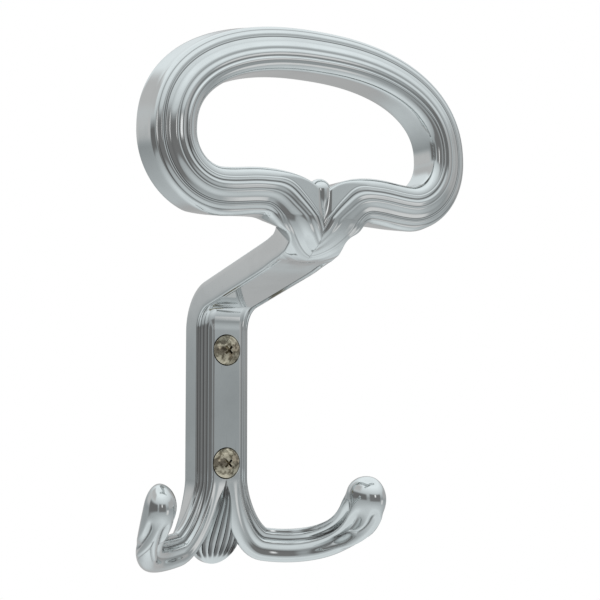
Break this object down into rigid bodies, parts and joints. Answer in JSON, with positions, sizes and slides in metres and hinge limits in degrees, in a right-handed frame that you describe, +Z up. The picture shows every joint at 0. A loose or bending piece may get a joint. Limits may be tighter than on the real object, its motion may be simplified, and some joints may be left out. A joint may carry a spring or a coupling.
{
  "type": "coat hook",
  "caption": "Plated cast hat-and-coat hook: moulded wall plate with a wide hat loop on a forward neck above and curled coat hooks round a fluted tail below, held by raised countersunk screws.",
  "frame": {"origin": "on the wall face of the plate, midway between the screws", "axes": "+X to the right seen from the room, +Y into the wall, so -Y points into the room, +Z up"},
  "size_m": [0.0922, 0.069, 0.1369],
  "materials": {
    "bright_plate": "polished nickel or chromium plate",
    "screw_brass": "yellow passivated or brass, semi-bright"
  },
  "bodies": {
    "root": {"hook_casting": "bright_plate", "upper_screw": "screw_brass", "lower_screw": "screw_brass"}
  },
  "joints": []
}
